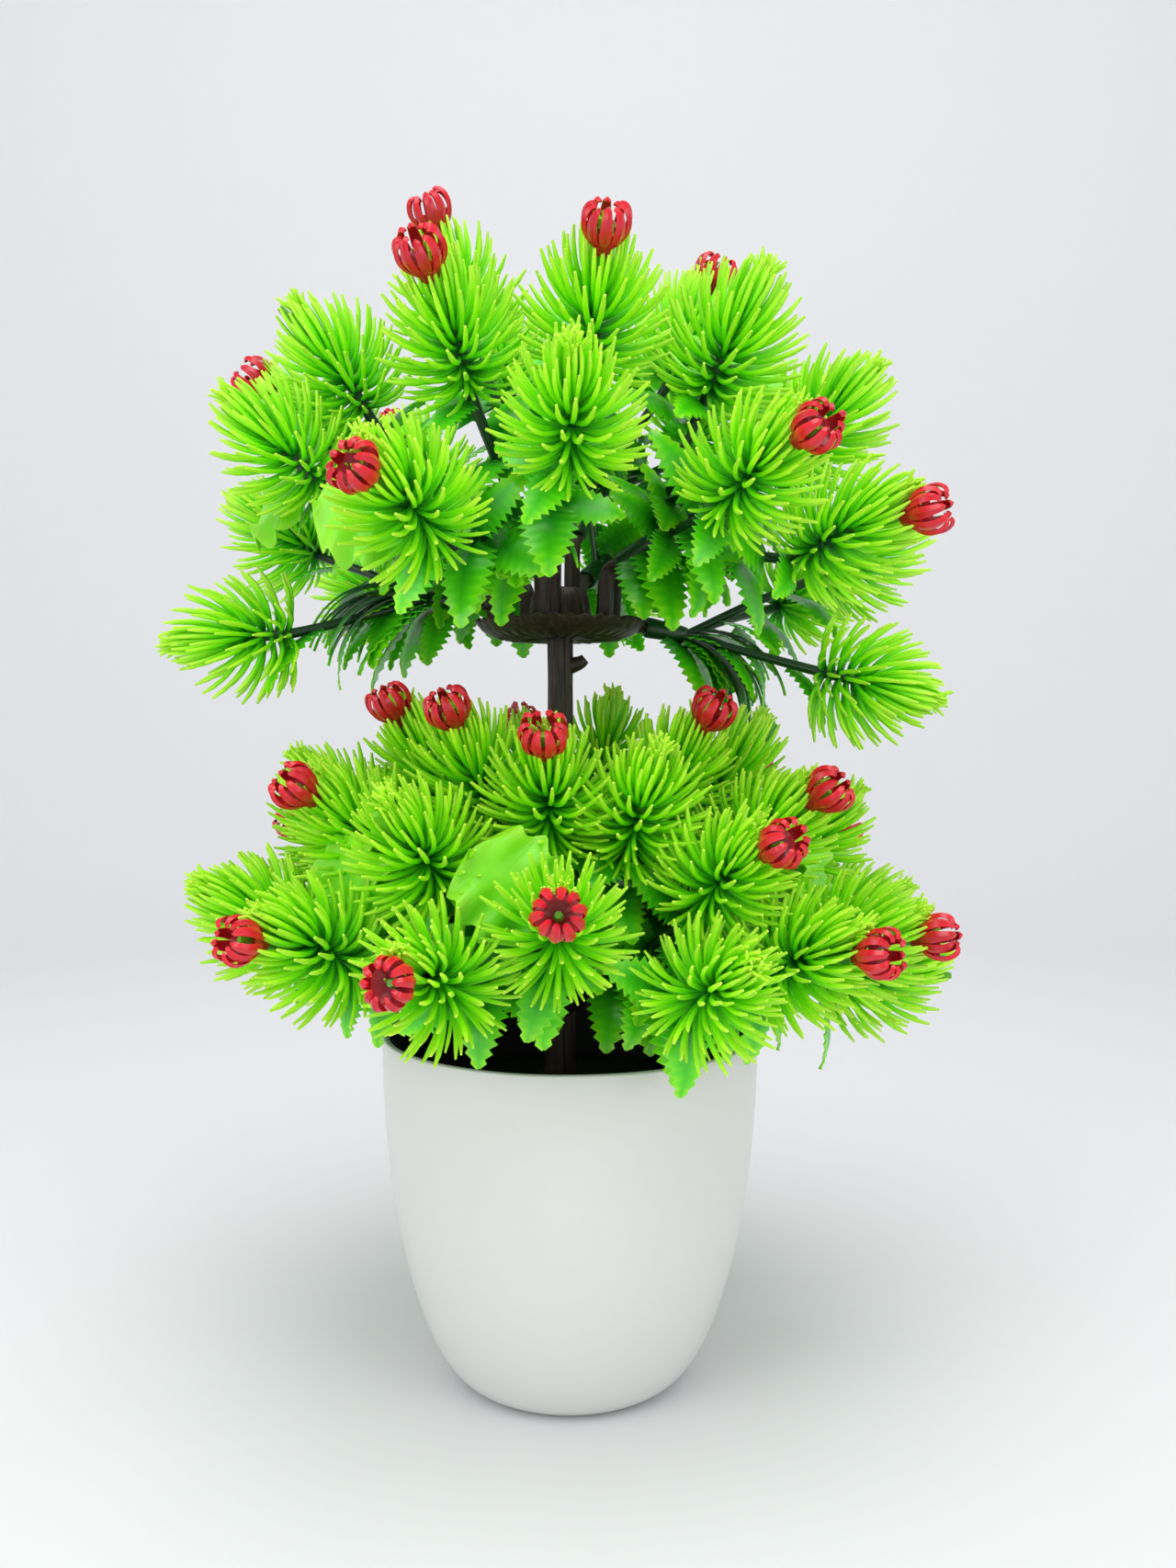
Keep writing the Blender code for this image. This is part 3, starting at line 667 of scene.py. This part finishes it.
    # One needle, a metre long: a curved blunt rod that the copies scale down.
    spine = addNode(tree, "GeometryNodeCurveQuadraticBezier",
                    {"Resolution": 6, "Start": (0, 0, 0), "Middle": (0.03, 0, 0.55)})
    tip = addNode(tree, "ShaderNodeCombineXYZ", {0: mathNode(tree, "MULTIPLY", given["Curl"], -1.0), 2: 0.96})
    tree.links.new(tip.outputs[0], spine.inputs["End"])
    along = addNode(tree, "GeometryNodeSplineParameter").outputs[0]
    marked = addNode(tree, "GeometryNodeStoreNamedAttribute",
                     {"Geometry": spine.outputs[0], "Name": "along", "Value": along},
                     data_type="FLOAT", domain="POINT")
    blunt = shaped(along, 0.80, 0.50, [(0.45, 1.0), (0.88, 0.92)])
    thick = mathNode(tree, "DIVIDE", given["Needle Radius"], given["Needle Length"])
    thin = mathNode(tree, "MULTIPLY", thick, blunt)
    ring = addNode(tree, "GeometryNodeCurvePrimitiveCircle", {"Resolution": 5, "Radius": 1.0})
    rod = addNode(tree, "GeometryNodeCurveToMesh",
                  {"Curve": marked.outputs[0], "Profile Curve": ring.outputs[0], "Fill Caps": True})
    if "Scale" in rod.inputs:
        tree.links.new(thin, rod.inputs["Scale"])
    else:
        sized = addNode(tree, "GeometryNodeSetCurveRadius", {"Curve": marked.outputs[0], "Radius": thin})
        tree.links.new(sized.outputs[0], rod.inputs["Curve"])
    copies = addNode(tree, "GeometryNodeInstanceOnPoints",
                     {"Points": placed.outputs[0], "Instance": rod.outputs[0], "Rotation": pose,
                      "Scale": length})
    toned = addNode(tree, "GeometryNodeStoreNamedAttribute",
                    {"Geometry": copies.outputs[0], "Name": "tone", "Value": swing(0.0, 1.0, 5)},
                    data_type="FLOAT", domain="INSTANCE")
    solid = addNode(tree, "GeometryNodeRealizeInstances", {0: toned.outputs[0]})
    smooth = addNode(tree, "GeometryNodeSetShadeSmooth", {0: solid.outputs[0]})
    painted = addNode(tree, "GeometryNodeSetMaterial", {0: smooth.outputs[0], "Material": given["Material"]})
    addNode(tree, "NodeGroupOutput", {0: painted.outputs[0]})
    return tree


# A copy of one shape at each point, aimed along its way and rolled to its face.
def copyTree():
    tree = newTree("placed_copies",
                   [("Shape", "Object", None), ("Seed", "Int", 1), ("Material", "Material", None)])
    given = addNode(tree, "NodeGroupInput").outputs
    shape = addNode(tree, "GeometryNodeObjectInfo", {"Object": given["Shape"], "As Instance": True},
                    transform_space="ORIGINAL")

    def attribute(name, kind):
        return addNode(tree, "GeometryNodeInputNamedAttribute", {"Name": name}, data_type=kind).outputs[0]

    way = attribute("way", "FLOAT_VECTOR")
    aim = addNode(tree, "FunctionNodeAlignRotationToVector", {"Vector": way}, axis="Z").outputs[0]
    roll = addNode(tree, "FunctionNodeAlignRotationToVector",
                   {"Rotation": aim, "Vector": attribute("face", "FLOAT_VECTOR")}, axis="X", pivot_axis="Z")
    copies = addNode(tree, "GeometryNodeInstanceOnPoints",
                     {"Points": given["Geometry"], "Instance": shape.outputs["Geometry"],
                      "Rotation": roll.outputs[0], "Scale": attribute("size", "FLOAT")})
    tone = addNode(tree, "FunctionNodeRandomValue", {2: 0.0, 3: 1.0, "Seed": given["Seed"]},
                   data_type="FLOAT")
    toned = addNode(tree, "GeometryNodeStoreNamedAttribute",
                    {"Geometry": copies.outputs[0], "Name": "tone", "Value": tone.outputs[1]},
                    data_type="FLOAT", domain="INSTANCE")
    solid = addNode(tree, "GeometryNodeRealizeInstances", {0: toned.outputs[0]})
    painted = addNode(tree, "GeometryNodeSetMaterial", {0: solid.outputs[0], "Material": given["Material"]})
    addNode(tree, "NodeGroupOutput", {0: painted.outputs[0]})
    return tree


# Runs a tree on the points and keeps the result as one plain mesh.
def grow(name, tree, points, values):
    data = bpy.data.meshes.new(name + "_points")
    data.from_pydata([p["at"] for p in points], [], [])
    for key, kind in (("way", "FLOAT_VECTOR"), ("face", "FLOAT_VECTOR"), ("size", "FLOAT")):
        if key in points[0]:
            layer = data.attributes.new(key, kind, "POINT")
            for i, point in enumerate(points):
                if kind == "FLOAT":
                    layer.data[i].value = point[key]
                else:
                    layer.data[i].vector = point[key]
    seed = bpy.data.objects.new(name + "_points", data)
    bpy.context.scene.collection.objects.link(seed)
    grown = seed.modifiers.new("grow", "NODES")
    grown.node_group = tree
    for item in tree.interface.items_tree:
        if item.item_type == "SOCKET" and item.in_out == "INPUT" and item.name in values:
            grown[item.identifier] = values[item.name]
    bpy.context.view_layer.update()
    graph = bpy.context.evaluated_depsgraph_get()
    evaluated = seed.evaluated_get(graph)
    mesh = bpy.data.meshes.new_from_object(evaluated, preserve_all_data_layers=True, depsgraph=graph)
    mesh.name = name
    bpy.data.objects.remove(seed, do_unlink=True)
    made = bpy.data.objects.new(name, mesh)
    bpy.context.scene.collection.objects.link(made)
    return made


# Where a copy grows from, the way it points, the side its face turns to, and its size.
def sprout(at, way, face, size):
    return {"at": at, "way": way.normalized(), "face": face, "size": size}


def bladeObject(name, rows, material):
    mesh = bmesh.new()
    pale = mesh.verts.layers.float.new("pale")
    loops = []
    for row in rows:
        loops.append([mesh.verts.new(place) for place, _ in row])
        for vert, (_, value) in zip(loops[-1], row):
            vert[pale] = value
    for low, high in zip(loops, loops[1:]):
        for i in range(len(low)):
            j = (i + 1) % len(low)
            mesh.faces.new((low[i], low[j], high[j], high[i]))
    mesh.faces.new(loops[0][::-1])
    mesh.faces.new(loops[-1])
    return toObject(name, mesh, material)


# Rows of points across a blade that grows along +Z with its upper face to +X and bends away from it.
def bladeRows(size, halfWidth, paleness):
    rows = []
    place = Vector((0, 0, 0))
    for i in range(size["steps"] + 1):
        t = i / size["steps"]
        lean = size["bend"] * t
        ahead = Vector((-math.sin(lean), 0, math.cos(lean)))
        up = Vector((math.cos(lean), 0, math.sin(lean)))
        if i:
            place = place + ahead * (size["length"] / size["steps"])
        half = halfWidth(t, i)
        top = []
        for aside in size["columns"]:
            wave = size["wave"] * math.sin(2 * math.pi * size["waves"] * t + 2.5 * aside) * abs(aside)
            crease = size["groove"] if aside == 0 else 0
            lift = wave - crease - size["droop"] * half * aside * aside
            top.append((place + up * lift + Vector((0, half * aside, 0)), paleness(t, abs(aside))))
        under = [(point - up * size["thick"], value) for point, value in reversed(top)]
        rows.append(top + under)
    return rows


def serratedLeaf(name, length, width):
    size = {"length": length, "width": width, "steps": 20, "tooth": 0.0027, "thick": 0.0005, "bend": 1.15,
            "droop": 0.30, "groove": 0.0007, "wave": 0.0003, "waves": 2, "columns": (-1, 0, 1),
            "stalk": 0.12, "stalkHalf": 0.0010, "tipHalf": 0.0004, "body": 0.80}

    def half(t, i):
        if t < size["stalk"]:
            return size["stalkHalf"]
        body = size["width"] / 2 * math.sin(math.pi * t ** 0.75) ** 0.75 if t < 1 else 0
        return max(body * size["body"] + size["tooth"] * (i % 2) * (1 - t) ** 0.3, size["tipHalf"])

    rows = bladeRows(size, half, lambda t, a: 0.08 + 0.62 * t + 0.30 * a ** 2)
    return bladeObject(name, rows, leafGreen)


def lobedLeaf():
    size = {"length": 0.027, "width": 0.024, "steps": 30, "scallops": 3.5, "scallop": 0.12, "thick": 0.0004,
            "bend": 0.5, "droop": 0.10, "groove": 0.0009, "wave": 0.0017, "waves": 3.5,
            "columns": (-1, -0.6, 0, 0.6, 1), "stalk": 0.2, "stalkHalf": 0.0010, "tipHalf": 0.0008}

    def half(t, i):
        if t < size["stalk"]:
            return size["stalkHalf"]
        s = (t - size["stalk"]) / (1 - size["stalk"])
        body = size["width"] / 2 * max(1 - abs(2 * s - 1) ** 2.6, 0.0) ** 0.5
        lobes = 1 + size["scallop"] * math.cos(2 * math.pi * size["scallops"] * s)
        return max(body * lobes, size["tipHalf"])

    rows = bladeRows(size, half, lambda t, a: 0.2 + 0.5 * t + 0.3 * a ** 4)
    return bladeObject("lobed_leaf_shape", rows, lobeLime)


def strapLeaf():
    size = {"length": 0.050, "width": 0.0044, "steps": 16, "thick": 0.0007, "bend": 1.75, "droop": 0.3,
            "groove": 0.0003, "wave": 0.0, "waves": 1, "columns": (-1, 0, 1), "tipHalf": 0.0002}

    def half(t, i):
        swell = 0.5 + 0.5 * math.sin(math.pi * min(t * 1.15 + 0.1, 1))
        return size["width"] / 2 * swell * (1 - t ** 5) + size["tipHalf"]

    rows = bladeRows(size, half, lambda t, a: t ** 1.5)
    return bladeObject("strap_leaf_shape", rows, strapGreen)


def petalShape():
    size = {"width": 0.0031, "ridge": 0.00035, "thick": 0.0006, "widest": 0.35, "base": 0.45, "tip": 0.62}
    # The petal's back from the cup to its tip, which curls in: reach and height from the flower's foot.
    path = [(0.0020, 0.0016), (0.0038, 0.0032), (0.0054, 0.0052), (0.0062, 0.0076), (0.0060, 0.0098),
            (0.0050, 0.0115), (0.0037, 0.0121), (0.0029, 0.0117)]
    points = smoothPath([Vector((radius, 0, height)) for radius, height in path], 2)
    rows = []
    last = len(points) - 1
    for i, point in enumerate(points):
        t = i / last
        ahead = (points[min(i + 1, last)] - points[max(i - 1, 0)]).normalized()
        inward = Vector((-ahead.z, 0, ahead.x))
        before = max(size["widest"] - t, 0) / size["widest"]
        past = max(t - size["widest"], 0) / (1 - size["widest"])
        half = size["width"] / 2 * (1 - size["base"] * before) * (1 - size["tip"] * past)
        row = []
        # The outer face: paler towards the tip, and pinker at both edges with a painted highlight.
        for aside in (-1, 0, 1):
            place = point + Vector((0, aside * half, 0)) - inward * size["ridge"] * (1 - 2 * abs(aside))
            row.append((place, 0.2 + 0.35 * t + 0.4 * abs(aside)))
        # The inner face is darker: painted shade inside the flower.
        for aside in (0.85, 0, -0.85):
            row.append((point + Vector((0, aside * half, 0)) + inward * size["thick"], 0.1 + 0.2 * t))
        rows.append(row)
    return bladeObject("petal_shape", rows, petalRed)


heads = needleTree()
copies = copyTree()
leafShape = serratedLeaf("serrated_leaf_shape", 0.028, 0.0135)
longShape = serratedLeaf("long_serrated_leaf_shape", 0.040, 0.0110)
lobeShape = lobedLeaf()
strapShape = strapLeaf()
petal = petalShape()
print("shapes made")


# Square to the way: 0 is up, 90 the left and 270 the right as seen from outside.
def around(way, degrees):
    side, down = across(way)
    turn = math.radians(degrees)
    return side * math.sin(turn) - down * math.cos(turn)


# Which of a sprig's heads have a lobed leaf beside them, and on which side, in degrees as around takes them.
lobed = {
    "upper_front_right": [(2, 295)], "upper_left_high": [(0, 120)], "upper_front_left": [(0, 80)],
    "upper_back_left": [(1, 60)], "upper_top_back": [(0, 250)],
    "lower_front": [(1, 45), (2, 90)], "lower_front_left": [(0, 10), (1, 70)], "lower_right": [(0, 0)],
    "lower_back": [(0, 270)], "lower_right_back": [(1, 30)], "lower_left": [(0, 320)],
}
# Sprigs that carry long leaves and hanging straps in place of short leaves.
trailing = ("upper_left", "upper_right")


def makeSprig(prefix, place, crown, number):
    size = {"reach": 0.0270, "gap": 0.0003, "socketR": 0.0032, "socketLength": 0.0140, "stemR": 0.0012,
            "fingerR": 0.0016, "fingerBack": 0.0120, "seat": 0.0185, "tip": 0.0075, "bareReach": 0.0250,
            "needleReach": 0.008, "stemBend": 0.002, "socketSides": 18, "stemSides": 10}
    # The hole that the peg fills: its depth, and its radius at the mouth and at the end.
    bore = {"depth": 0.011, "mouthR": 0.00185, "endR": 0.0018}
    # Shares along the socket, each with its share of the radius.
    swell = [(0, 1.0), (0.03, 1.08), (0.1, 1.1), (0.5, 0.98), (0.85, 0.9), (0.96, 0.8), (1.0, 0.55)]
    foliage = {"leaves": 6, "lift": 0.32, "straps": 1, "trailingLeaves": 7, "trailingStraps": 16,
               "lobeSize": 1.2, "hanging": 4, "hangingBelow": 0.72}
    body = f"{prefix}_{place}"
    hangs = body in trailing
    branches = crown["sprigs"][place]
    rng = random.Random(100 + number)
    centre = crownCentre(crown)
    axis = sprigAxis(branches)
    foot = centre + axis * (size["reach"] + size["gap"])
    fork = foot + axis * (size["socketLength"] - 0.001)
    up = Vector((0, 0, 1))
    mesh = bmesh.new()
    pale = mesh.verts.layers.float.new("pale")
    outer = [foot + axis * size["socketLength"] * along for along, _ in swell]
    rings = tubeRings(outer, [size["socketR"] * 0.92 * share for _, share in swell], size["socketSides"])
    hole = tubeRings([foot, foot + axis * bore["depth"]], [bore["mouthR"], bore["endR"]], size["socketSides"])
    addLoft(mesh, [hole[1], hole[0]] + rings, [0.1] * (len(rings) + 2), pale)
    points = []
    leaves = []
    longLeaves = []
    lobes = []
    straps = []
    for azimuth, elevation, tip in branches:
        way = toward(azimuth, elevation)
        middle = centre + way * headReach(crown, elevation)
        lifted = (way + up * (foliage["lift"] if elevation > 0 else 0)).normalized()
        neck = middle - lifted * size["fingerBack"]
        ends = {needles: size["needleReach"], bare: size["bareReach"], flower: size["seat"] + size["tip"]}
        bend = fork.lerp(neck, 0.5) + (way - axis) * size["stemBend"]
        stem = smoothPath([fork, bend, neck, middle, middle + way * ends[tip]], 6)
        last = len(stem) - 1
        radii = [size["stemR"] + (size["fingerR"] - size["stemR"]) * min(i / 14, 1) for i in range(last + 1)]
        radii[-1] *= 0.55
        radii[-2] *= 0.92
        # Dark near the fork, and paler over the last half of the finger.
        marks = [max(0.0, (i / last - 0.45) * 1.6) for i in range(last + 1)]
        addLoft(mesh, tubeRings(stem, radii, size["stemSides"]), marks, pale)
        points.append({"at": middle, "way": lifted, "size": rng.uniform(1.0, 1.1)})
        if hangs:
            for k in range(3):
                out = around(way, 100 + 80 * k)
                longLeaves.append(sprout(fork.lerp(neck, 0.25 + 0.25 * k), way * 0.9 + out * 0.55, up,
                                         rng.uniform(0.55, 0.8)))
            continue
        leaves.append(sprout(fork.lerp(neck, 0.55), way * 0.7 + around(way, 180) * 0.7, way,
                             rng.uniform(0.95, 1.05)))
        for k in range(foliage["leaves"]):
            out = around(way, 60 + 90 * k + rng.uniform(-30, 30))
            leaves.append(sprout(fork.lerp(neck, 0.15 + 0.16 * k), way * 0.6 + out * 0.85, way,
                                 rng.uniform(0.7, 1.0)))
    if axis.z < foliage["hangingBelow"]:
        for k in range(foliage["hanging"]):
            turn = math.radians(-50 + 34 * k + rng.uniform(-10, 10))
            level = Vector((axis.x, axis.y, 0)).normalized()
            level.rotate(Quaternion(up, turn))
            leaves.append(sprout(foot + axis * (0.006 + 0.005 * k), level - up * rng.uniform(0.1, 0.6),
                                 up + level * 0.5, rng.uniform(0.85, 1.12)))
    for k in range(foliage["trailingStraps"] if hangs else foliage["straps"]):
        out = around(axis, -100 + 200 * rng.random())
        straps.append(sprout(fork - axis * 0.002, axis + out * rng.uniform(0.35, 0.8), up,
                             rng.uniform(0.7, 0.95)))
    if hangs:
        for k in range(foliage["trailingLeaves"]):
            out = around(axis, -120 + 60 * k)
            longLeaves.append(sprout(fork - axis * 0.003, axis + out * rng.uniform(0.3, 0.7), up,
                                     rng.uniform(0.75, 1.0)))
    for branch, degrees in lobed.get(body, []):
        azimuth, elevation, _ = branches[branch]
        way = toward(azimuth, elevation)
        neck = centre + way * (headReach(crown, elevation) - size["fingerBack"])
        lobes.append(sprout(neck, way * 0.6 + around(way, degrees), way, foliage["lobeSize"]))
    stems = toObject(body + "_stems", mesh, stemGreen)
    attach(stems, body)
    needleMesh = grow(body + "_needles", heads, points, {"Seed": number * 11, "Material": needleGreen})
    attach(needleMesh, body)
    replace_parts(needleMesh, body + "_sprig")
    kinds = (("leaves", leaves, leafShape, leafGreen), ("long_leaves", longLeaves, longShape, leafGreen),
             ("lobed_leaves", lobes, lobeShape, lobeLime), ("straps", straps, strapShape, strapGreen))
    for kind, places, shape, material in kinds:
        if places:
            values = {"Shape": shape, "Seed": number, "Material": material}
            grown = grow(f"{body}_{kind}", copies, places, values)
            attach(grown, body)


def makeFlowers(prefix, place, crown, number):
    size = {"seat": 0.0185, "petals": 10, "cupSides": 40, "flute": 0.05}
    # The cup from its foot over the lip and down inside: reach, height and paleness. Paleness is lowest at
    # the foot, where the neck is dark red, and falls again down the inside as painted shade.
    profile = [(0.0022, 0.0, 0.05), (0.0024, 0.0003, 0.1), (0.0027, 0.0018, 0.2), (0.0038, 0.0036, 0.3),
               (0.0050, 0.0052, 0.45), (0.0056, 0.0064, 0.6), (0.0050, 0.0062, 0.4), (0.0034, 0.0050, 0.1),
               (0.0012, 0.0044, 0.0)]
    body = f"{prefix}_{place}"
    blooms = [branch for branch in crown["sprigs"][place] if branch[2] == flower]
    for count, (azimuth, elevation, _) in enumerate(blooms, 1):
        name = f"{body}_flower_{count}"
        way = toward(azimuth, elevation)
        foot = crownCentre(crown) + way * (headReach(crown, elevation) + size["seat"])
        side, other = across(way)
        rng = random.Random(number * 7 + count)
        start = rng.uniform(0, math.pi)
        mesh = bmesh.new()
        pale = mesh.verts.layers.float.new("pale")
        rings = []
        for radius, height, _ in profile:
            ring = []
            for k in range(size["cupSides"]):
                turn = 2 * math.pi * k / size["cupSides"]
                reach = radius * (1 + size["flute"] * math.cos(size["petals"] * turn))
                out = side * math.cos(turn + start) + other * math.sin(turn + start)
                ring.append(foot + way * height + out * reach)
            rings.append(ring)
        addLoft(mesh, rings, [mark for _, _, mark in profile], pale)
        cup = toObject(name + "_cup", mesh, petalRed)
        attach(cup, body)
        petals = []
        for k in range(size["petals"]):
            turn = start + 2 * math.pi * k / size["petals"] + rng.uniform(-0.05, 0.05)
            out = side * math.cos(turn) + other * math.sin(turn)
            petals.append(sprout(foot, way + out * rng.uniform(-0.03, 0.05), out, rng.uniform(0.95, 1.05)))
        bloom = grow(name + "_petals", copies, petals, {"Shape": petal, "Seed": number, "Material": petalRed})
        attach(bloom, body)
        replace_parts(bloom, name)


number = 0
for prefix, crown in (("lower", lowerCrown), ("upper", upperCrown)):
    for place in crown["sprigs"]:
        number += 1
        makeSprig(prefix, place, crown, number)
        makeFlowers(prefix, place, crown, number)
for shape in (leafShape, longShape, lobeShape, strapShape, petal):
    bpy.data.objects.remove(shape, do_unlink=True)
for node in ("ballast", "fibre_plug"):
    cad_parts[node].material_slots[0].material = plugDark
print("sprigs and flowers made")
